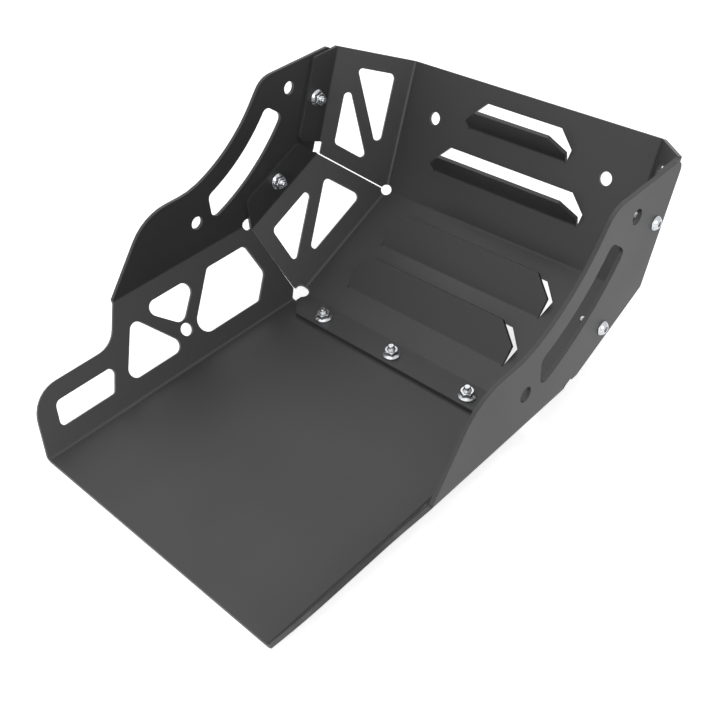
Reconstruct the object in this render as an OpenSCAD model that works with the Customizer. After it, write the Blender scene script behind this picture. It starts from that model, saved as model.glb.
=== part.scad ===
// Motorcycle engine guard: a folded belly plate and a louvred front plate, bolted together.
// Millimetres. X across, Y forward, Z up. The guard is the same on both sides of X = 0.
// Origin: middle of the floor's underside. Inside the modules, Y starts at the floor's rear
// edge and Z at its upper face, and in_frame() moves a finished piece to the origin.
// Each panel is drawn flat in its own axes: u along its fold, v away from the fold.

/* [Sheet] */
// Thickness of both folded sheets
sheet_t = 3; // [2:0.5:4]
// Inside radius of every fold
bend_r = 3; // [2:0.5:4]
// Radius of the relief hole where two folds of the front plate meet
relief_r = 4.8; // [4:0.1:6]
// Radius of the relief hole at the foot of the front plate
foot_relief_r = 6; // [4.5:0.5:7]
// Thickness of the coating between the two plates
coat_gap = 0.05; // [0.02:0.01:0.1]
// Gap along the seam where the two plates meet edge to edge
seam_gap = 0.3; // [0.2:0.1:1]

/* [Belly plate] */
// Width of the flat floor, fold to fold
floor_w = 240; // [220:1:270]
// Length of the floor
floor_l = 261; // [250:1:290]
// Size of the floor's cut front corners
floor_nose = 10; // [6:1:14]
// How far each chamfer reaches sideways
chamfer_run = 40; // [34:1:48]
// How far each chamfer rises
chamfer_rise = 65; // [58:1:75]
// Height of the low rear end of the chamfer, up its slope
rear_h = 47.5; // [42:0.5:52]
// Length of the low rear end of the chamfer
rear_l = 86.5; // [82:0.5:90]
// Where each side wall starts on its fold
wall_start = 104.5; // [100:0.5:110]
// Height of the side wall over its low stretch
wing_h = 119.5; // [112:0.5:126]
// Height of the side wall at its front end
wall_top = 182; // [176:1:190]
// Rake of the wall's rear edge from the floor
wall_rake = 50.5; // [46:0.5:56]
// Distance of the curved edge's centre from the rear edge
arc_y = 155; // [150:1:160]
// Height of the curved edge's centre
arc_z = 264.5; // [260:0.5:270]
// Radius of the wall's curved upper edge
edge_r = 150; // [146:1:154]
// Inner radius of the curved slot
slot_ri = 165.5; // [163:0.5:168]
// Outer radius of the curved slot
slot_ro = 187.5; // [184:0.5:190]
// Distance of the slot's rear end from the floor's rear edge
slot_y = 210.5; // [206:0.5:216]
// Angle of the slot's front end from straight down
slot_end_a = 50; // [46:1:52]
// Lean of the seam between the two plates, from upright
seam_lean = 11; // [8:1:14]

/* [Front plate] */
// Distance of the front plate's lowest fold from the rear edge
foot_y = 260; // [256:1:270]
// Length of the foot strip that lies on the floor
foot_l = 24; // [22:1:28]
// Width of the foot strip
foot_w = 228; // [214:1:229]
// Size of the foot strip's cut corners
foot_cut = 13; // [8:1:16]
// Angle of the lower slope from the floor
slope_1_a = 23; // [20:1:26]
// Length of the lower slope
slope_1_l = 124; // [118:1:130]
// Angle of the upper slope from the floor
slope_2_a = 67; // [62:1:72]
// Length of the upper slope
slope_2_l = 115; // [110:1:122]
// Height of the side flanges' fold, square to the slopes
side_rise = 58.5; // [54:0.5:62]
// Width of the flange that meets the side wall
flange_w = 25; // [22:0.5:28]
// Width of the slit between the two chamfers of the front plate
slit_w = 1; // [0.6:0.1:2]
// How far the side wall's free edge stays inside the flange fold
wall_inset = 2.3; // [1.5:0.1:4]

/* [Louvres] */
// Width of the slit cut around each louvre
kerf = 1; // [0.8:0.1:1.6]
// Hinge width of both louvres on the lower slope
louvre_1_w = 164; // [150:1:180]
// Length of the louvres on the lower slope
louvre_1_l = 32; // [26:0.5:34]
// Cut corners of the louvres on the lower slope
louvre_1_cut = 16; // [10:0.5:18]
// Inward bend of the louvres on the lower slope
louvre_1_a = 32; // [24:1:40]
// Distance of the first hinge up the lower slope
louvre_1_s = 24.5; // [20:0.5:28]
// Distance between the two hinges on the lower slope
louvre_1_pitch = 48.5; // [46:0.5:52]
// Hinge width of the first louvre on the upper slope
louvre_2_w = 145; // [130:1:160]
// How much narrower the second louvre on the upper slope is
louvre_2_step = 50; // [40:1:60]
// Length of the louvres on the upper slope
louvre_2_l = 22; // [18:0.5:24]
// Cut corners of the louvres on the upper slope
louvre_2_cut = 13.5; // [8:0.5:15]
// Inward bend of the louvres on the upper slope
louvre_2_a = 48; // [36:1:56]
// Distance of the first hinge up the upper slope
louvre_2_s = 33; // [28:0.5:36]
// Distance between the two hinges on the upper slope
louvre_2_pitch = 44; // [42:0.5:46]
// How much a louvre widens on each side before its corners are cut
louvre_flare = 1.5; // [0:0.5:3]

/* [Mounting holes] */
// Diameter of the frame mounting holes
mount_d = 11; // [8:0.5:13]
// Distance between the front holes
front_hole_gap = 169; // [150:1:190]
// Distance of the front holes up the upper slope
front_hole_s = 74.5; // [70:0.5:80]
// Distance of the rear side hole from the rear edge
side_hole_1_y = 195; // [185:1:205]
// Height of the rear side hole
side_hole_1_z = 91; // [86:1:94]
// Distance of the front side hole from the rear edge
side_hole_2_y = 309; // [303:1:315]
// Height of the front side hole
side_hole_2_z = 163.5; // [158:0.5:168]

/* [Fasteners] */
// Thread diameter of the screws
screw_d = 6; // [5:0.5:6]
// Length of the screws under the head
screw_l = 16; // [15:1:20]
// Diameter of the screw heads
head_d = 10.5; // [9.5:0.5:12]
// Height of the screw heads
head_h = 3.3; // [2.8:0.1:4]
// Width of the hexagon socket, across flats
socket_af = 4; // [3:0.5:4.5]
// Depth of the hexagon socket
socket_h = 2; // [1.5:0.1:2.4]
// Diameter of the holes for the screws
bolt_hole_d = 6.5; // [6.2:0.1:7]
// Diameter of the nuts' flange
nut_flange_d = 14.2; // [13:0.1:16]
// Width of the nuts across flats
nut_af = 10; // [9:0.5:11]
// Height of the nuts
nut_h = 6; // [5:0.5:7]
// Play between screw and nut
thread_gap = 0.05; // [0.02:0.01:0.1]
// Distance of the floor screws behind the lowest fold
bolt_back = 14; // [13:1:15]
// Distance between neighbouring floor screws
bolt_pitch = 77; // [70:1:85]
// Distance of the side screws from the flange fold
bolt_edge = 14; // [12:1:16]
// Distance of the lower side screw along its flange
side_bolt_1_u = 53.5; // [45:0.5:60]
// Distance of the upper side screw along its flange
side_bolt_2_u = 71.5; // [60:0.5:80]

/* [Hidden] */
$fn = 64;
coat = "#3c3d3f";
steel = "#c9ccd0";
X = [1, 0, 0];
half_w = floor_w/2;
wall_x = half_w + chamfer_run;
chamfer_a = atan(chamfer_rise/chamfer_run);
chamfer_w = norm([chamfer_run, chamfer_rise]);
// The front plate nests inside the belly plate, so its folds sit one sheet further in
nest = sheet_t + coat_gap;
fold_x = half_w - nest*tan(chamfer_a/2);
flange_x = wall_x - nest;
side_run = flange_x - fold_x;
side_a = atan(side_rise/side_run);
side_w = norm([side_run, side_rise]);
d1 = [0, cos(slope_1_a), sin(slope_1_a)];
n1 = [0, -sin(slope_1_a), cos(slope_1_a)];
d2 = [0, cos(slope_2_a), sin(slope_2_a)];
n2 = [0, -sin(slope_2_a), cos(slope_2_a)];
p1 = [0, foot_y, nest];
p2 = p1 + slope_1_l*d1;
turn_12 = slope_2_a - slope_1_a;
// Left flange folds of the front plate, in the guard's own axes
flange_o1 = p1 - flange_x*X + side_rise*n1;
flange_o2 = p2 - flange_x*X + side_rise*n2;
chamfer_set = set_back(chamfer_a);
wall_set = set_back(90 - chamfer_a);
side_set = set_back(side_a);
flange_set = set_back(90 - side_a);
foot_set = set_back(slope_1_a);
mid_set = set_back(turn_12);
// The seam line, as Y against Z
seam_y0 = floor_l - 3.5;
seam_k = tan(seam_lean);
chamfer_k = chamfer_rise/chamfer_w;
side_k = side_rise/side_w;
relief_y = seam_y0 - chamfer_rise*seam_k - 1;
// Flat strip on each side of a bend, which runs half its width into the panel
land = 0.5;
// Margins of the windows
rail_low = 15;
rail_high = 14.3;
nose = floor_l - floor_nose;

function unit(a) = a/norm(a);
function set_back(a) = bend_r*tan(a/2);
// Position of the seam along the belly chamfer and along the front chamfer, at height v
function seam_u1(v) = seam_y0 - v*chamfer_k*seam_k - seam_gap/2;
function seam_u2(v) =
    (seam_y0 + seam_gap/2 - foot_y - nest*seam_k
        - v*side_k*(cos(slope_1_a)*seam_k - sin(slope_1_a)))
    /(cos(slope_1_a) + sin(slope_1_a)*seam_k);
// Points of one rounded corner b between a and c; corners are [x, y, radius]
function corner(a, b, c) =
    b.z <= 0 ? [[b.x, b.y]] :
    let (
        at = [b.x, b.y],
        to_a = [a.x, a.y] - at,
        to_c = [c.x, c.y] - at,
        p = unit(to_a),
        q = unit(to_c),
        half = acos(max(-1, min(1, p*q)))/2,
        room = min(norm(to_a)*(a.z > 0 ? 0.5 : 0.95), norm(to_c)*(c.z > 0 ? 0.5 : 0.95)),
        r = min(b.z, room*tan(half)),
        m = at + unit(p + q)*r/sin(half),
        s = at + p*r/tan(half) - m,
        turn = (180 - 2*half)*sign(cross(s, at - m)),
        n = max(2, ceil(abs(turn)/9))
    )
    [for (i = [0:n]) m + [s.x*cos(turn*i/n) - s.y*sin(turn*i/n),
                          s.x*sin(turn*i/n) + s.y*cos(turn*i/n)]];
function outline(c) =
    let (n = len(c)) [for (i = [0:n - 1]) each corner(c[(i + n - 1) % n], c[i], c[(i + 1) % n])];
// Corner of the outer face where the inner face turns from a-b to b-c
function outer_corner(a, b, c) =
    let (
        n_in = unit([a.y - b.y, b.x - a.x]),
        n_out = unit([b.y - c.y, c.x - b.x]),
        n = unit(n_in + n_out)
    )
    b + n*sheet_t/(n*n_in);
// Section of a bent sheet whose inner face follows the path, with round bends
function section(path) =
    let (
        n = len(path) - 1,
        inner = [for (i = [0:n]) [path[i].x, path[i].y, i > 0 && i < n ? bend_r : 0]],
        outer = [for (i = [n:-1:0])
            let (
                b = path[i],
                o = outer_corner(i > 0 ? path[i - 1] : 2*b - path[1], b,
                    i < n ? path[i + 1] : 2*b - path[n - 1])
            )
            [o.x, o.y, i > 0 && i < n ? bend_r + sheet_t : 0]]
    )
    outline(concat(inner, outer));
// Plain points of an arc about the wall's edge centre, angles from straight down
function edge_arc(r, a, b) =
    let (n = max(2, ceil(abs(b - a)/2)))
    [for (i = [0:n]) let (t = a + (b - a)*i/n) [arc_y + r*sin(t), arc_z - r*cos(t), 0]];

// A flat panel in the axes of its own plane, on the outer side
module sheet() {
    translate([0, 0, -sheet_t])
        linear_extrude(sheet_t)
            children();
}

// A channel of bent sheet along Y, from y0 to y1, open upwards
module channel(path, y0, y1) {
    translate([0, y1, 0])
        rotate([90, 0, 0])
            linear_extrude(y1 - y0)
                polygon(section(path));
}

// Cuts a side panel of a channel to the outline given as its children
module trim(fold_at, turn, low, high, y0, y1) {
    translate([fold_at.x, 0, fold_at.y])
        rotate(90)
            rotate([turn, 0, 0])
                translate([0, 0, -sheet_t - 1])
                    linear_extrude(sheet_t + 4)
                        difference() {
                            translate([y0, low])
                                square([y1 - y0, high - low]);
                            children();
                        }
}

// Points of a fold's face of radius r between its tangents
function bend_arc(r, turn) =
    let (n = max(2, ceil(turn/9)))
    [for (i = [1:n - 1]) [r*sin(turn*i/n) - set_back(turn), bend_r - r*cos(turn*i/n)]];
function turned(p, a) = [p.x*cos(a) - p.y*sin(a), p.x*sin(a) + p.y*cos(a)];

// A fold about the X axis, over u0 to u1. The next panel is drawn in the turned axes.
module fold(turn, u0, u1) {
    s = set_back(turn);
    // The bend's ends lie just inside flat strips, and the strips run into the panels
    lap = 0.05;
    tuck = 0.005;
    inner = bend_arc(bend_r, turn);
    outer = bend_arc(bend_r + sheet_t, turn);
    translate([u0, -s - land, -sheet_t])
        cube([u1 - u0, land + lap, sheet_t]);
    translate([u0, 0, 0])
        rotate([90, 0, 90])
            linear_extrude(u1 - u0)
                polygon(concat(
                    [[-s - lap, -tuck]], inner, [turned([s + lap, -tuck], turn)],
                    [turned([s + lap, tuck - sheet_t], turn)],
                    [for (i = [len(outer) - 1:-1:0]) outer[i]], [[-s - lap, tuck - sheet_t]]
                ));
    rotate([turn, 0, 0]) {
        translate([u0, s - lap, -sheet_t])
            cube([u1 - u0, land + lap, sheet_t]);
        children();
    }
}

module in_frame() {
    translate([0, -floor_l/2, sheet_t])
        children();
}

module both_sides() {
    children();
    mirror(X)
        children();
}

module hole_at(p, d) {
    translate(p)
        circle(d = d);
}

module floor_panel() {
    x = half_w - 2;
    difference() {
        polygon([[-x, 0], [x, 0], [x, nose], [x - floor_nose, floor_l],
            [floor_nose - x, floor_l], [-x, nose]]);
        for (i = [-1:1])
            hole_at([i*bolt_pitch, foot_y - bolt_back], bolt_hole_d);
    }
}

// Windows of the belly chamfer: a slot, two triangles and a round hole, and a long window
module chamfer_windows() {
    low = rail_low;
    high = chamfer_w - rail_high;
    slot_top = rear_h - 13.5;
    polygon(outline([[20, low, 3.5], [69.5, low, 3.5], [81, slot_top, 4.5], [26, slot_top, 6]]));
    polygon(outline([[81, low, 7], [144, low, 7], [111, high - 2.5, 7]]));
    polygon(outline([[117.5, high, 7], [179, high, 7], [148.5, high - 30, 8]]));
    hole_at([148, 27.5], 11);
    polygon(outline([[145.5, low, 10], [nose - 30.5, low, 3.5], [nose - 13, low + 18.5, 7],
        [nose - 18.5, high, 5], [190.5, high, 6]]));
}

module chamfer_panel() {
    past = 5;
    bottom = chamfer_set;
    top = chamfer_w - wall_set;
    difference() {
        polygon(outline([
            [0, -past, 0], [0, bottom, 0], [13.5, rear_h, 29], [rear_l, rear_h, 23],
            [wall_start, top, 0], [wall_start, chamfer_w + past, 0],
            [relief_y, chamfer_w + past, 0], [relief_y, top, 0],
            [seam_u1(top), top, 0], [seam_u1(8), 8, 0], [nose, bottom, 0], [nose, -past, 0]
        ]));
        hole_at([relief_y, chamfer_w], 2*relief_r);
        chamfer_windows();
    }
}

// Outline of the side wall, in Y and Z
module wall_outline() {
    z0 = chamfer_rise + wall_set;
    rake_y = wall_start + (wing_h - chamfer_rise)/tan(wall_rake);
    low_a = acos((arc_z - wing_h)/edge_r);
    low_y = arc_y + edge_r*sin(low_a);
    high_a = 49;
    high_z = arc_z - edge_r*cos(high_a);
    high_y = arc_y + edge_r*sin(high_a);
    ramp_y = high_y + (wall_top - high_z)/tan(high_a);
    // Free lower and front edges run inside the flange folds
    f1 = flange_o1 + wall_inset*n1;
    f2 = flange_o2 + wall_inset*n2;
    low_k = tan(slope_1_a);
    front_k = tan(slope_2_a);
    kink_y = (f2.z - f1.z + low_k*f1.y - front_k*f2.y)/(low_k - front_k);
    kink_z = f1.z + low_k*(kink_y - f1.y);
    front_y = f2.y + (wall_top - f2.z)/front_k;
    polygon(outline(concat(
        [[wall_start, z0, 0], [rake_y, wing_h, 48], [low_y, wing_h, 60]],
        edge_arc(edge_r, low_a + 5, high_a),
        [[ramp_y, wall_top, 22], [front_y, wall_top, 6], [kink_y, kink_z, 3],
            [relief_y, f1.z + low_k*(relief_y - f1.y), 0], [relief_y, z0, 0]]
    )));
}

// The curved slot: square to the floor at the rear, radial at the front
module curved_slot() {
    in_a = asin((slot_y - arc_y)/slot_ri);
    out_a = asin((slot_y - arc_y)/slot_ro);
    corner_r = 6;
    skip_a = 2.6;
    polygon(outline(concat(
        [[slot_y, arc_z - slot_ri*cos(in_a), corner_r]],
        edge_arc(slot_ri, in_a + skip_a, slot_end_a - skip_a),
        [[arc_y + slot_ri*sin(slot_end_a), arc_z - slot_ri*cos(slot_end_a), corner_r],
            [arc_y + slot_ro*sin(slot_end_a), arc_z - slot_ro*cos(slot_end_a), corner_r]],
        edge_arc(slot_ro, slot_end_a - skip_a, out_a + skip_a),
        [[slot_y, arc_z - slot_ro*cos(out_a), corner_r]]
    )));
}

module wall_panel() {
    difference() {
        wall_outline();
        hole_at([relief_y, chamfer_rise], 2*relief_r);
        curved_slot();
        hole_at([side_hole_1_y, side_hole_1_z], mount_d);
        hole_at([side_hole_2_y, side_hole_2_z], mount_d);
        for (p = side_bolts())
            hole_at([p.y, p.z], bolt_hole_d);
    }
}

module belly_plate() {
    path = [[wall_x, wall_top], [wall_x, chamfer_rise], [half_w, 0], [-half_w, 0],
        [-wall_x, chamfer_rise], [-wall_x, wall_top]];
    far = flange_o2.y + slope_2_l;
    color(coat)
        in_frame()
            difference() {
                channel(path, 0, far);
                translate([0, 0, -sheet_t - 1])
                    linear_extrude(sheet_t + 2)
                        difference() {
                            translate([-half_w + 3, -1])
                                square([floor_w - 6, far + 2]);
                            floor_panel();
                        }
                both_sides() {
                    trim([-half_w, 0], chamfer_a, -4.5, chamfer_w + 3, -1, far + 1)
                        chamfer_panel();
                    trim([-wall_x, 0], 90, chamfer_rise + wall_set, wall_top + 1, -1, far + 1)
                        wall_panel();
                    translate([-wall_x, relief_y, chamfer_rise])
                        rotate([0, 90, 0])
                            cylinder(r = relief_r, h = 2*sheet_t + 4, center = true);
                }
            }
}

// Outline of a louvre, grown sideways and upwards by g
module louvre_shape(w, l, cut, g = 0) {
    hinge = w/2 + g;
    wide = hinge + louvre_flare;
    top = wide - cut;
    polygon([[-hinge, 0], [-wide, l + g - cut], [-top, l + g], [top, l + g],
        [wide, l + g - cut], [hinge, 0]]);
}

// A louvre bent inwards about its lower edge, at distance s up its slope
module louvre(s, w, l, cut, a) {
    trim = set_back(a) + land/2;
    translate([0, s, 0])
        fold(a, -w/2, w/2)
            sheet()
                intersection() {
                    louvre_shape(w, l, cut);
                    translate([-w, trim])
                        square([2*w, l]);
                }
}

// Opening that the louvre leaves in its slope
module louvre_opening(s, w, l, cut, a) {
    trim = set_back(a) + land/2;
    translate([0, s])
        intersection() {
            louvre_shape(w, l, cut, kerf);
            translate([-w, -trim])
                square([2*w, l + kerf + trim]);
        }
    translate([-w/2 - kerf, s - trim])
        square([w + 2*kerf, 2*trim]);
}

module slope_1_panel() {
    x = fold_x - side_set;
    start = foot_set + land/2;
    difference() {
        translate([-x, start])
            square([2*x, slope_1_l - mid_set - land/2 - start]);
        for (i = [0:1])
            louvre_opening(louvre_1_s + i*louvre_1_pitch, louvre_1_w, louvre_1_l,
                louvre_1_cut, louvre_1_a);
    }
}

module slope_2_panel() {
    x = fold_x - side_set;
    start = mid_set + land/2;
    difference() {
        translate([-x, start])
            square([2*x, slope_2_l - start]);
        for (i = [-1, 1])
            hole_at([i*front_hole_gap/2, front_hole_s], mount_d);
        for (i = [0:1])
            louvre_opening(louvre_2_s + i*louvre_2_pitch, louvre_2_w - i*louvre_2_step,
                louvre_2_l, louvre_2_cut, louvre_2_a);
    }
}

module foot_panel() {
    y0 = foot_y - foot_l;
    y1 = foot_y - foot_set - land/2;
    x = foot_w/2;
    difference() {
        polygon([[foot_cut - x, y0], [x - foot_cut, y0], [x, y0 + foot_cut], [x, y1],
            [-x, y1], [-x, y0 + foot_cut]]);
        for (i = [-1:1])
            hole_at([i*bolt_pitch, foot_y - bolt_back], bolt_hole_d);
    }
}

// Chamfer beside the lower slope, with two triangular windows
module side_panel_1() {
    past = 5;
    top = side_w - flange_set;
    miter = tan(turn_12/2)*side_k;
    far = slope_1_l - slit_w/2;
    difference() {
        polygon([[0, -past], [0, 0], [seam_u2(8), 8], [seam_u2(top), top],
            [seam_u2(side_w), side_w + past], [far - miter*top, side_w + past],
            [far - miter*top, top], [far, 0], [far, -past]]);
        polygon(outline([[14.5, 20, 3.5], [78.5, 56, 3.5], [21.5, 56, 5.5]]));
        polygon(outline([[26, 15, 3.5], [103, 15, 5], [90.5, 51.5, 5]]));
    }
}

// Chamfer beside the upper slope, with two triangular windows and a notch under its flange
module side_panel_2() {
    past = 5;
    notch = side_w - 2.5;
    miter = tan(turn_12/2)*side_k;
    near = slit_w/2;
    difference() {
        polygon([[near, -past], [near, 0], [near + miter*notch, notch],
            [flange_2_start(), notch], [flange_2_start(), side_w + past],
            [slope_2_l, side_w + past], [slope_2_l, -past]]);
        polygon(outline([[23, 24, 3.5], [92.5, 56.5, 3.8], [34, 56.5, 5]]));
        polygon(outline([[28.5, 15, 4], [101, 15, 5], [101, 49.5, 3.2]]));
    }
}

// The upper flange starts clear of the lower one
function flange_2_start() = (side_rise + flange_w)*tan(turn_12/2);

module flange_panel_1() {
    start = seam_u2(side_w);
    lean = tan(slope_1_a);
    far = slope_1_l - side_rise*tan(turn_12/2) - slit_w;
    difference() {
        polygon(outline([[start + lean*flange_set, flange_set, 0],
            [start + lean*flange_w, flange_w, 9],
            [far - flange_w*tan(turn_12/2), flange_w, 3],
            [far - flange_set*tan(turn_12/2), flange_set, 0]]));
        hole_at([side_bolt_1_u, bolt_edge], bolt_hole_d);
    }
}

module flange_panel_2() {
    start = flange_2_start();
    level = tan(90 - slope_2_a);
    difference() {
        polygon(outline([[start, flange_set, 0], [start, flange_w, 6],
            [slope_2_l - level*flange_w, flange_w, 3],
            [slope_2_l - level*flange_set, flange_set, 0]]));
        hole_at([side_bolt_2_u, bolt_edge], bolt_hole_d);
    }
}

// Inner face of a slope's section
slope_path = [[flange_x, side_rise + flange_w], [flange_x, side_rise], [fold_x, 0],
    [-fold_x, 0], [-flange_x, side_rise], [-flange_x, side_rise + flange_w]];

// One slope of length l: its section cut to the outlines of the flat panel (first child),
// the side panel (second child) and the flange (third child)
module slope(l) {
    y0 = -40;
    y1 = l + 1;
    difference() {
        difference() {
            difference() {
                channel(slope_path, y0, y1);
                both_sides()
                    trim([-flange_x, side_rise], 90, flange_set, flange_w + 1, y0 - 1, y1 + 1)
                        children(2);
            }
            both_sides()
                trim([-fold_x, 0], side_a, -4.5, side_w + 3, y0 - 1, y1 + 1)
                    children(1);
        }
        translate([0, 0, -sheet_t - 1])
            linear_extrude(sheet_t + 2)
                difference() {
                    translate([-fold_x + 2.5, y0 - 1])
                        square([2*fold_x - 5, y1 - y0 + 2]);
                    children(0);
                }
    }
}

module lower_slope() {
    slope(slope_1_l) {
        slope_1_panel();
        side_panel_1();
        flange_panel_1();
    }
    for (i = [0:1])
        louvre(louvre_1_s + i*louvre_1_pitch, louvre_1_w, louvre_1_l, louvre_1_cut, louvre_1_a);
}

module upper_slope() {
    slope(slope_2_l) {
        slope_2_panel();
        side_panel_2();
        flange_panel_2();
    }
    for (i = [0:1])
        louvre(louvre_2_s + i*louvre_2_pitch, louvre_2_w - i*louvre_2_step, louvre_2_l,
            louvre_2_cut, louvre_2_a);
}

// Round relief hole at the left end of a fold that turns by an angle. Its wall starts and
// ends at the angle start, which is in the open gap between the panels.
module relief(r, turn, start) {
    rotate([turn/2, 0, 0])
        rotate([0, side_a/2, 0])
            rotate(start)
                cylinder(r = r, h = 8*sheet_t, center = true);
}

module front_plate() {
    // The folds across the plate end inside the relief holes, which are cut last
    fold_end = fold_x - 2;
    color(coat)
        in_frame()
            difference() {
                union() {
                    translate([0, 0, nest])
                        sheet()
                            foot_panel();
                    translate(p1)
                        fold(slope_1_a, -fold_end, fold_end) {
                            lower_slope();
                            translate([0, slope_1_l, 0])
                                fold(turn_12, -fold_end, fold_end)
                                    upper_slope();
                        }
                }
                both_sides() {
                    translate(p1 - fold_x*X)
                        relief(foot_relief_r, slope_1_a, 240);
                    translate(p2 - fold_x*X)
                        rotate([slope_1_a, 0, 0])
                            relief(relief_r, turn_12, 180);
                }
            }
}

// Places of the floor and side screws, on the inner face of the outer plate
function floor_bolts() = [for (i = [-1:1]) [i*bolt_pitch, foot_y - bolt_back, 0]];
function side_bolts() = [
    flange_o1 + side_bolt_1_u*d1 + bolt_edge*n1 - nest*X,
    flange_o2 + side_bolt_2_u*d2 + bolt_edge*n2 - nest*X
];

// Button-head screw along +Z, its head below the plane z = -sheet_t
module screw() {
    rim_h = 0.6;
    flat_r = head_d*0.28;
    rim_r = head_d/2;
    dome_z = (flat_r*flat_r + head_h*head_h - rim_r*rim_r - rim_h*rim_h)/(2*(head_h - rim_h));
    dome_r = norm([rim_r, rim_h - dome_z]);
    translate([0, 0, -sheet_t]) {
        difference() {
            intersection() {
                translate([0, 0, -head_h])
                    cylinder(r = rim_r, h = head_h);
                translate([0, 0, -dome_z])
                    sphere(r = dome_r);
            }
            translate([0, 0, -head_h - 1])
                cylinder(d = socket_af/cos(30), h = socket_h + 1, $fn = 6);
        }
        cylinder(d = screw_d, h = screw_l - 1);
        translate([0, 0, screw_l - 1])
            cylinder(d1 = screw_d, d2 = screw_d - 2, h = 1);
    }
}

// Flange nut along +Z, seated on the upper face of the inner plate
module nut() {
    rim_h = 1.2;
    skirt_h = 2.4;
    translate([0, 0, nest])
        difference() {
            union() {
                cylinder(d = nut_flange_d, h = rim_h);
                translate([0, 0, rim_h])
                    cylinder(d1 = nut_flange_d, d2 = nut_af, h = skirt_h - rim_h);
                intersection() {
                    cylinder(d = nut_af/cos(30), h = nut_h, $fn = 6);
                    cylinder(d1 = nut_af + 2*nut_h, d2 = nut_af, h = nut_h);
                }
            }
            translate([0, 0, -1])
                cylinder(d = screw_d + 2*thread_gap, h = nut_h + 2);
        }
}

// Turns each fastener a little further than the last, as tightened by hand
module on_floor() {
    bolts = floor_bolts();
    in_frame()
        for (i = [0:len(bolts) - 1])
            translate(bolts[i])
                rotate(17*i)
                    children();
}

module on_sides() {
    bolts = side_bolts();
    in_frame()
        both_sides()
            for (i = [0:len(bolts) - 1])
                translate(bolts[i])
                    rotate([0, 90, 0])
                        rotate(25 + 17*i)
                            children();
}

module floor_screws() {
    color(steel)
        on_floor()
            screw();
}

module floor_nuts() {
    color(steel)
        on_floor()
            nut();
}

module side_screws() {
    color(steel)
        on_sides()
            screw();
}

module side_nuts() {
    color(steel)
        on_sides()
            nut();
}

belly_plate();
front_plate();
floor_screws();
floor_nuts();
side_screws();
side_nuts();
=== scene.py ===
# Motorcycle engine guard: two folded aluminium plates under black powder coat, held by
# seven zinc-plated button-head screws and flange nuts. Metres, in the frame of the CAD.
import math

import bpy
from mathutils import Euler, Matrix, Vector


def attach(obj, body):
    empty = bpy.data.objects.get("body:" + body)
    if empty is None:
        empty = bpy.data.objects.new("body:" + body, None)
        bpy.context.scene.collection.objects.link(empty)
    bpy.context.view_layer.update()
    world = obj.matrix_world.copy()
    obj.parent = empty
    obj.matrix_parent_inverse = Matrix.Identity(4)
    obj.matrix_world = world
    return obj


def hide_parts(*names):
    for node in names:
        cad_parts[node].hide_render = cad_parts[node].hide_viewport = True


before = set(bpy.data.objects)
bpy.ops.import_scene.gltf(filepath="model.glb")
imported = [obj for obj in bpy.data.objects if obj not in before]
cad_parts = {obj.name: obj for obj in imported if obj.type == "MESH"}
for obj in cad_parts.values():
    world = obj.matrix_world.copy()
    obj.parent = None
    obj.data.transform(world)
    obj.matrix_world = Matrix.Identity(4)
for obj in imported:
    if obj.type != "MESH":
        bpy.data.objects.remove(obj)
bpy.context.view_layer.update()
scene = bpy.context.scene
MM = 0.001


# The camera stands behind the guard on its right, above it, and looks forward and down.
# Its place, turn and lens come from the straight edges of the two plates.
camera_at = Vector((412.48, -312.09, 508.23)) * MM
camera_heading = math.radians(46.444)
camera_down = math.radians(40.374)
camera_roll = math.radians(4.872)
lens_length = 48.43
sensor_width = 36

look = Vector((
    -math.sin(camera_heading) * math.cos(camera_down),
    math.cos(camera_heading) * math.cos(camera_down),
    -math.sin(camera_down),
))
level = Vector((math.cos(camera_heading), math.sin(camera_heading), 0))
below = look.cross(level)
across = math.cos(camera_roll) * level + math.sin(camera_roll) * below
downward = math.cos(camera_roll) * below - math.sin(camera_roll) * level
camera_data = bpy.data.cameras.new("studio_camera")
camera_data.lens = lens_length
camera_data.sensor_width = sensor_width
camera = bpy.data.objects.new("studio_camera", camera_data)
turn = Matrix((across, -downward, -look)).transposed().to_4x4()
camera.matrix_world = Matrix.Translation(camera_at) @ turn
scene.collection.objects.link(camera)
scene.camera = camera


# The belly plate is 3 mm aluminium sheet, cut by laser, folded and powder coated. The
# cured coat is satin black with a fine orange peel, and it rounds over the cut edges.
def linear(colour):
    """sRGB hex to linear RGBA."""
    parts = [int(colour[i:i + 2], 16) / 255 for i in (1, 3, 5)]
    low = 0.04045
    return [p / 12.92 if p <= low else ((p + 0.055) / 1.055) ** 2.4 for p in parts] + [1]


def add(tree, kind, inputs=None, **settings):
    """Adds a node. Each input gets a value, or a link where a socket is given."""
    node = tree.nodes.new(kind)
    for name, value in settings.items():
        setattr(node, name, value)
    for key, value in (inputs or {}).items():
        if isinstance(value, bpy.types.NodeSocket):
            tree.links.new(value, node.inputs[key])
        else:
            node.inputs[key].default_value = value
    return node


def new_material(name):
    material = bpy.data.materials.new(name)
    material.use_nodes = True
    material.node_tree.nodes.clear()
    return material, material.node_tree


coat_black = "#2b2b2c"
coat_worn = "#323233"
peel_size = 1.6 * MM
grit_size = 0.5 * MM
cloud_size = 90 * MM
edge_round = 0.5 * MM
sheen_low, sheen_high = 0.42, 0.5
peel_strength, peel_depth = 0.18, 0.1 * MM
grit_strength, grit_depth = 0.12, 0.05 * MM

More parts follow.
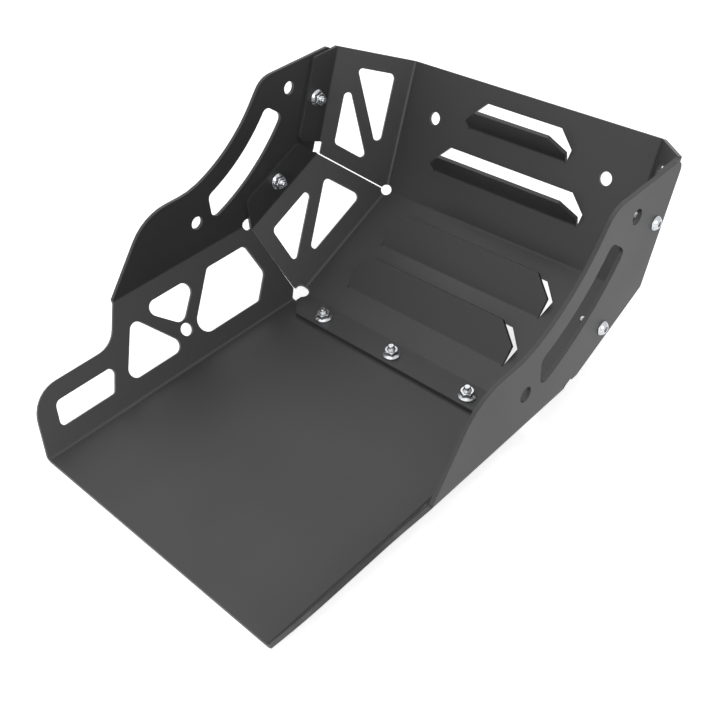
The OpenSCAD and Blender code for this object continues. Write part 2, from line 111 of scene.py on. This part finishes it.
# Polyester powder coat, sprayed and cured: a satin film with a fine orange peel and a
# dusting of grit, drawn a little coarser than real so that it shows.
powder_coat, tree = new_material("satin_black_powder_coat")
place = add(tree, "ShaderNodeTexCoord").outputs["Object"]
cloud = add(tree, "ShaderNodeTexNoise", {"Vector": place, "Scale": 1 / cloud_size, "Detail": 2.0})
grit = add(tree, "ShaderNodeTexNoise", {"Vector": place, "Scale": 1 / grit_size, "Detail": 1.0})
peel = add(tree, "ShaderNodeTexNoise", {"Vector": place, "Scale": 1 / peel_size, "Detail": 2.0})
shade = add(tree, "ShaderNodeMapRange", {
    "Value": grit.outputs["Fac"], "From Min": 0.35, "From Max": 0.65,
})
colour = add(tree, "ShaderNodeMix", {
    "Factor": shade.outputs["Result"], "A": linear(coat_black), "B": linear(coat_worn),
}, data_type="RGBA")
sheen = add(tree, "ShaderNodeMapRange", {
    "Value": cloud.outputs["Fac"], "From Min": 0.3, "From Max": 0.7,
    "To Min": sheen_low, "To Max": sheen_high,
})
edges = add(tree, "ShaderNodeBevel", {"Radius": edge_round}, samples=4)
peel_bump = add(tree, "ShaderNodeBump", {
    "Height": peel.outputs["Fac"], "Strength": peel_strength, "Distance": peel_depth,
    "Normal": edges.outputs["Normal"],
})
grit_bump = add(tree, "ShaderNodeBump", {
    "Height": grit.outputs["Fac"], "Strength": grit_strength, "Distance": grit_depth,
    "Normal": peel_bump.outputs["Normal"],
})
film = add(tree, "ShaderNodeBsdfPrincipled", {
    "Base Color": colour.outputs["Result"], "Roughness": sheen.outputs["Result"],
    "IOR": 1.5, "Normal": grit_bump.outputs["Normal"],
})
add(tree, "ShaderNodeOutputMaterial", {"Surface": film.outputs["BSDF"]})


def finish_node(name, material):
    """Gives a CAD node its finish in every material slot that it has."""
    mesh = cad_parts[name].data
    if not mesh.materials:
        mesh.materials.append(material)
    for i in range(len(mesh.materials)):
        mesh.materials[i] = material


finish_node("belly_plate", powder_coat)


# The front plate is the same sheet, with louvres bent in out of both of its slopes. It
# nests inside the belly plate, and the screws through its foot and flanges hold it there.
finish_node("front_plate", powder_coat)


# Seven screws join the plates: three through the floor and two through each side wall.
# Their seats follow the CAD: the foot strip, and the flanges beside the two slopes.
sheet = 3 * MM
nest = sheet + 0.05 * MM
floor_length = 261 * MM
wall_x = 160 * MM
foot_y = 260 * MM
lower_slope = math.radians(23)
upper_slope = math.radians(67)
lower_length = 124 * MM
flange_rise = 58.5 * MM
screw_inset = 14 * MM
floor_pitch = 77 * MM
along_flanges = (53.5 * MM, 71.5 * MM)
floor_turn = math.radians(17)
side_turn = math.radians(25)


def up_slope(angle, along, above):
    """Step along a slope and square to it, as Y and Z."""
    return Vector((0, along * math.cos(angle) - above * math.sin(angle),
                   along * math.sin(angle) + above * math.cos(angle)))


to_frame = Vector((0, -floor_length / 2, sheet))
lower_fold = Vector((0, foot_y, nest))
upper_fold = lower_fold + up_slope(lower_slope, lower_length, 0)
rise = flange_rise + screw_inset
side_places = (
    lower_fold + up_slope(lower_slope, along_flanges[0], rise),
    upper_fold + up_slope(upper_slope, along_flanges[1], rise),
)
floor_seats = [
    (to_frame + Vector((i * floor_pitch, foot_y - screw_inset, 0)),
     Euler((0, 0, (i + 1) * floor_turn)))
    for i in (-1, 0, 1)
]
side_seats = []
for side in (-1, 1):
    for i, spot in enumerate(side_places):
        inward = Matrix.Rotation(-side * math.pi / 2, 3, "Y")
        spin = Matrix.Rotation(-side * (side_turn + i * floor_turn), 3, "Z")
        side_seats.append((
            to_frame + spot + Vector((side * wall_x, 0, 0)), (inward @ spin).to_euler(),
        ))


def seat_points(name, seats):
    """A mesh of bare points, one for each seat, that carries how each fastener is turned."""
    mesh = bpy.data.meshes.new(name)
    mesh.from_pydata([place for place, _ in seats], [], [])
    turns = mesh.attributes.new("turn", "FLOAT_VECTOR", "POINT")
    for i, (_, euler) in enumerate(seats):
        turns.data[i].vector = tuple(euler)
    points = bpy.data.objects.new(name, mesh)
    scene.collection.objects.link(points)
    return points


def socket_in(tree, name, kind):
    """Adds a named input to a Geometry Nodes tree."""
    return tree.interface.new_socket(name=name, in_out="INPUT", socket_type=kind)


def new_tree(name, sockets):
    """A Geometry Nodes tree with geometry in and out and the named inputs."""
    tree = bpy.data.node_groups.new(name, "GeometryNodeTree")
    socket_in(tree, "Geometry", "NodeSocketGeometry")
    for label, kind in sockets:
        socket_in(tree, label, kind)
    tree.interface.new_socket(name="Geometry", in_out="OUTPUT", socket_type="NodeSocketGeometry")
    return tree, add(tree, "NodeGroupInput").outputs


def grow(piece, tree, values):
    """Runs a tree on a piece and keeps the result as its plain mesh."""
    run = piece.modifiers.new("grow", "NODES")
    run.node_group = tree
    for item in tree.interface.items_tree:
        if item.in_out == "INPUT" and item.name in values:
            run[item.identifier] = values[item.name]
    bpy.context.view_layer.update()
    made = piece.evaluated_get(bpy.context.evaluated_depsgraph_get())
    mesh = bpy.data.meshes.new_from_object(made)
    piece.modifiers.remove(run)
    piece.data = mesh
    return piece


# A seat's tree puts a copy of the fastener on every point, turned as the point says.
seated, group = new_tree("seated_fasteners", [
    ("Fastener", "NodeSocketObject"), ("Finish", "NodeSocketMaterial"),
])
fastener = add(seated, "GeometryNodeObjectInfo", {"Object": group["Fastener"]})
turned = add(seated, "GeometryNodeInputNamedAttribute", {
    "Name": "turn",
}, data_type="FLOAT_VECTOR")
copies = add(seated, "GeometryNodeInstanceOnPoints", {
    "Points": group["Geometry"], "Instance": fastener.outputs["Geometry"],
    "Rotation": turned.outputs["Attribute"],
})
solid = add(seated, "GeometryNodeRealizeInstances", {"Geometry": copies.outputs["Instances"]})
dressed = add(seated, "GeometryNodeSetMaterial", {
    "Geometry": solid.outputs["Geometry"], "Material": group["Finish"],
})
add(seated, "NodeGroupOutput", {"Geometry": dressed.outputs["Geometry"]})


# The screws are M6 by 16 button heads: cold-formed steel with a rolled thread and a
# pressed hexagon socket, bright zinc plated. Their heads are outside and underneath.
thread_pitch = 1 * MM
thread_crest = 2.97 * MM
thread_core = 2.5 * MM
flank_share = 0.46
screw_length = 16 * MM
head_radius = 5.25 * MM
head_height = 3.3 * MM
head_rim = 0.6 * MM
head_flat = 0.28 * 2 * head_radius
socket_across = 4 * MM
socket_depth = 2 * MM
socket_point = 0.3
hexagon_sides = 6
ring_points = 72
crease = math.radians(32)


def hexagon(across_flats):
    """Radius of a hexagon at an angle, with a corner at angle zero."""
    side = 2 * math.pi / hexagon_sides
    return lambda a: across_flats / 2 / math.cos(a % side - side / 2)


def lathe(name, profile, closed):
    """A shell from rings of (radius, height). A radius may be a rule of the angle. An open
    profile starts and ends in a pole, and a closed one comes back to its first ring."""
    verts, faces = [], []
    for radius, height in profile:
        for k in range(ring_points):
            a = 2 * math.pi * k / ring_points
            r = radius(a) if callable(radius) else radius
            verts.append((r * math.cos(a), r * math.sin(a), height))
    rows = len(profile)
    for i in range(rows if closed else rows - 1):
        here, there = i * ring_points, (i + 1) % rows * ring_points
        for k in range(ring_points):
            n = (k + 1) % ring_points
            faces.append((here + k, here + n, there + n, there + k))
    if not closed:
        for row, start in ((0, 0), (rows - 1, (rows - 1) * ring_points)):
            pole = len(verts)
            verts.append((0, 0, profile[row][1]))
            for k in range(ring_points):
                n = (k + 1) % ring_points
                pair = (start + n, start + k) if row == 0 else (start + k, start + n)
                faces.append(pair + (pole,))
    mesh = bpy.data.meshes.new(name)
    mesh.from_pydata(verts, [], faces)
    return bpy.data.objects.new(name, mesh)


def crisp(mesh):
    """Smooth shading with sharp edges where the faces turn by more than the crease angle."""
    mesh.shade_smooth()
    mesh.set_sharp_from_angle(angle=crease)


dome_middle = (
    (head_flat**2 + head_height**2 - head_radius**2 - head_rim**2)
    / (2 * (head_height - head_rim))
)
dome_radius = math.hypot(head_radius, head_rim - dome_middle)
dome_steps = 8
dome = []
for i in range(dome_steps + 1):
    r = head_flat + (head_radius - head_flat) * math.sin(math.pi / 2 * i / dome_steps)
    dome.append((r, -(dome_middle + math.sqrt(dome_radius**2 - r * r))))
lead_in = 0.25 * MM
tip_chamfer = 0.9 * MM
socket_ring = hexagon(socket_across)
screw_profile = [
    (lambda a: socket_point * socket_ring(a), -head_height + socket_depth),
    (socket_ring, -head_height + socket_depth - lead_in),
    (socket_ring, -head_height + lead_in / 2),
    (lambda a: max(socket_ring(a), socket_across / 2 + lead_in), -head_height),
] + dome + [
    (head_radius, -head_rim / 3),
    (head_radius - lead_in, 0),
    (thread_core + lead_in, 0),
    (thread_core, lead_in),
    (thread_core, screw_length - tip_chamfer),
    (thread_core - tip_chamfer / 2, screw_length),
]
screw = lathe("button_head_screw", screw_profile, closed=False)
crisp(screw.data)

# The thread's tree sweeps a pointed ridge along a helix and joins it to the blank.
threaded, group = new_tree("rolled_thread", [
    ("Pitch", "NodeSocketFloat"), ("Crest radius", "NodeSocketFloat"),
    ("Core radius", "NodeSocketFloat"), ("Length", "NodeSocketFloat"),
    ("Start", "NodeSocketFloat"), ("Finish", "NodeSocketMaterial"),
])
turns = add(threaded, "ShaderNodeMath", {
    0: group["Length"], 1: group["Pitch"],
}, operation="DIVIDE")
helix = add(threaded, "GeometryNodeCurveSpiral", {
    "Resolution": 36, "Rotations": turns.outputs["Value"],
    "Start Radius": group["Core radius"], "End Radius": group["Core radius"],
    "Height": group["Length"],
})
upright = add(threaded, "GeometryNodeSetCurveNormal", {
    "Curve": helix.outputs["Curve"],
}, mode="Z_UP")
depth = add(threaded, "ShaderNodeMath", {
    0: group["Crest radius"], 1: group["Core radius"],
}, operation="SUBTRACT")
width = add(threaded, "ShaderNodeMath", {0: depth.outputs["Value"], 1: 2.0}, operation="MULTIPLY")
flank = add(threaded, "ShaderNodeMath", {0: group["Pitch"], 1: flank_share}, operation="MULTIPLY")
ridge = add(threaded, "GeometryNodeCurvePrimitiveQuadrilateral", {
    "Width": width.outputs["Value"], "Top Height": flank.outputs["Value"],
    "Bottom Height": flank.outputs["Value"],
}, mode="KITE")
sweep = add(threaded, "GeometryNodeCurveToMesh", {
    "Curve": upright.outputs["Curve"], "Profile Curve": ridge.outputs["Curve"],
    "Fill Caps": True,
})
lift = add(threaded, "ShaderNodeCombineXYZ", {"Z": group["Start"]})
raised = add(threaded, "GeometryNodeTransform", {
    "Geometry": sweep.outputs["Mesh"], "Translation": lift.outputs["Vector"],
})
joined = add(threaded, "GeometryNodeJoinGeometry")
threaded.links.new(group["Geometry"], joined.inputs["Geometry"])
threaded.links.new(raised.outputs["Geometry"], joined.inputs["Geometry"])
plain = add(threaded, "GeometryNodeRealizeInstances", {"Geometry": joined.outputs["Geometry"]})
plated = add(threaded, "GeometryNodeSetMaterial", {
    "Geometry": plain.outputs["Geometry"], "Material": group["Finish"],
})
add(threaded, "NodeGroupOutput", {"Geometry": plated.outputs["Geometry"]})

# Bright zinc plate on steel: a thin pale metal skin that mirrors softly, with faint
# clouding where it was tumbled in the barrel.
zinc_pale = "#d6d8da"
zinc_dull = "#b9bcc0"
tumble_size = 1.5 * MM
gloss_low, gloss_high = 0.16, 0.28
zinc, tree = new_material("bright_zinc_plated_steel")
place = add(tree, "ShaderNodeTexCoord").outputs["Object"]
tumble = add(tree, "ShaderNodeTexNoise", {
    "Vector": place, "Scale": 1 / tumble_size, "Detail": 3.0,
})
tone = add(tree, "ShaderNodeMix", {
    "Factor": tumble.outputs["Fac"], "A": linear(zinc_pale), "B": linear(zinc_dull),
}, data_type="RGBA")
gloss = add(tree, "ShaderNodeMapRange", {
    "Value": tumble.outputs["Fac"], "From Min": 0.3, "From Max": 0.7,
    "To Min": gloss_low, "To Max": gloss_high,
})
skin = add(tree, "ShaderNodeBsdfPrincipled", {
    "Base Color": tone.outputs["Result"], "Metallic": 1.0,
    "Roughness": gloss.outputs["Result"],
})
add(tree, "ShaderNodeOutputMaterial", {"Surface": skin.outputs["BSDF"]})

scene.collection.objects.link(screw)
grow(screw, threaded, {
    "Pitch": thread_pitch, "Crest radius": thread_crest, "Core radius": thread_core,
    "Length": screw_length - 2 * tip_chamfer - thread_pitch,
    "Start": thread_pitch, "Finish": zinc,
})


def fasten(name, seats, piece, node):
    """Puts a copy of a fastener on each seat, and stands for the CAD's node."""
    group = grow(seat_points(name, seats), seated, {"Fastener": piece, "Finish": zinc})
    mesh = group.data
    mesh.materials.clear()
    mesh.materials.append(zinc)
    for face in mesh.polygons:
        face.material_index = 0
    crisp(mesh)
    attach(group, "root")
    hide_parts(node)


def outside(seats):
    """The same seats on the outer face of the outer plate, one sheet further out."""
    out = []
    for place, euler in seats:
        axis = euler.to_matrix() @ Vector((0, 0, 1))
        out.append((place - axis * sheet, euler))
    return out


fasten("floor_button_screws", outside(floor_seats), screw, "floor_screws")
fasten("side_button_screws", outside(side_seats), screw, "side_screws")
bpy.data.objects.remove(screw)


# The nuts are M6 flange nuts, cold formed and bright zinc plated like the screws. Their
# round flange bears on the coat of the front plate, inside the guard.
nut_across = 10 * MM
nut_height = 6 * MM
flange_radius = 7.1 * MM
flange_edge = 1.2 * MM
flange_top = 2.6 * MM
bore_radius = 3.05 * MM
corner_cut = 0.75 * MM
flange_steps = 7
body = hexagon(nut_across)
corner_radius = nut_across / 2 / math.cos(math.pi / hexagon_sides)


def skirt(radius):
    """The wider of the flange's cone and the hexagon at an angle."""
    return lambda a: max(radius, body(a))


def crown(radius):
    """The narrower of the top chamfer's cone and the hexagon at an angle."""
    return lambda a: min(radius, body(a))


nut_profile = [(bore_radius + lead_in, 0), (flange_radius - lead_in, 0), (flange_radius, lead_in)]
for i in range(flange_steps + 1):
    t = i / flange_steps
    nut_profile.append((
        skirt(flange_radius + t * (nut_across / 2 - flange_radius)),
        flange_edge + t * (flange_top - flange_edge),
    ))
crown_steps = 4
for i in range(crown_steps + 1):
    t = i / crown_steps
    nut_profile.append((
        crown(corner_radius + t * (nut_across / 2 - 0.1 * MM - corner_radius)),
        nut_height - corner_cut * (1 - t),
    ))
nut_profile += [
    (bore_radius + 2 * lead_in, nut_height),
    (bore_radius, nut_height - 2 * lead_in),
    (bore_radius, lead_in),
]
nut = lathe("flange_nut", nut_profile, closed=True)
crisp(nut.data)
scene.collection.objects.link(nut)


def inside(seats):
    """The same seats on the inner face of the front plate."""
    return [(place + euler.to_matrix() @ Vector((0, 0, nest)), euler) for place, euler in seats]


fasten("floor_flange_nuts", inside(floor_seats), nut, "floor_nuts")
fasten("side_flange_nuts", inside(side_seats), nut, "side_nuts")
bpy.data.objects.remove(nut)


# The guard rests on its rear edge and on the floor screws' heads, on a white table in
# white surroundings, between four broad lamps: overhead, in front, behind and to its right.
paper_white = "#f4f4f3"
table_size = 4.0
table_glow = 0.62
sky_light = 0.45
screw_y = foot_y - screw_inset - floor_length / 2
rear_y = -floor_length / 2
tilt = -math.atan2(head_height, screw_y - rear_y)
table_mesh = bpy.data.meshes.new("white_table")
half = table_size / 2
table_mesh.from_pydata(
    [(-half, -half, 0), (half, -half, 0), (half, half, 0), (-half, half, 0)],
    [], [(0, 1, 2, 3)],
)
table = bpy.data.objects.new("white_table", table_mesh)
table.matrix_world = Matrix.Translation((0, rear_y, 0)) @ Matrix.Rotation(tilt, 4, "X")
scene.collection.objects.link(table)


def seen_rays(tree):
    """1 for a ray that shows the surface itself, and 0 for a ray that only lights."""
    rays = add(tree, "ShaderNodeLightPath").outputs
    mirrored = add(tree, "ShaderNodeMath", {
        0: rays["Is Camera Ray"], 1: rays["Is Glossy Ray"],
    }, operation="MAXIMUM")
    seen = add(tree, "ShaderNodeMath", {
        0: mirrored.outputs["Value"], 1: rays["Is Transmission Ray"],
    }, operation="MAXIMUM")
    return seen.outputs["Value"]


paper, tree = new_material("matt_white_paper")
fill = add(tree, "ShaderNodeMath", {0: seen_rays(tree), 1: table_glow}, operation="MULTIPLY")
matt = add(tree, "ShaderNodeBsdfDiffuse", {"Color": linear(paper_white)})
glow = add(tree, "ShaderNodeEmission", {"Strength": fill.outputs["Value"]})
both = add(tree, "ShaderNodeAddShader", {0: matt.outputs["BSDF"], 1: glow.outputs["Emission"]})
add(tree, "ShaderNodeOutputMaterial", {"Surface": both.outputs["Shader"]})
table_mesh.materials.append(paper)

world = bpy.data.worlds.new("white_studio")
scene.world = world
world.use_nodes = True
tree = world.node_tree
tree.nodes.clear()
strength = add(tree, "ShaderNodeMapRange", {
    "Value": seen_rays(tree), "To Min": sky_light, "To Max": 1.0,
})
sky = add(tree, "ShaderNodeBackground", {
    "Color": linear("#ffffff"), "Strength": strength.outputs["Result"],
})
add(tree, "ShaderNodeOutputWorld", {"Surface": sky.outputs["Background"]})


def lamp(name, place, aim, size, watts):
    """A square soft box that faces a point."""
    data = bpy.data.lights.new(name, "AREA")
    data.size = size
    data.energy = watts
    light = bpy.data.objects.new(name, data)
    light.location = place
    light.rotation_euler = (Vector(aim) - Vector(place)).to_track_quat("-Z", "Y").to_euler()
    scene.collection.objects.link(light)


lamp("overhead_soft_box", (-0.3, 0, 1.6), (0, 0.05, 0), 1.4, 5)
lamp("front_soft_box", (-0.95, 0.85, 1.25), (0, 0.05, 0), 1.1, 3)
lamp("rear_soft_box", (0.35, -1.4, 0.75), (0, 0.1, 0.05), 1.0, 9)
lamp("side_soft_box", (1.35, -0.3, 0.75), (0, 0.05, 0.05), 0.9, 5)

scene.view_settings.view_transform = "Standard"
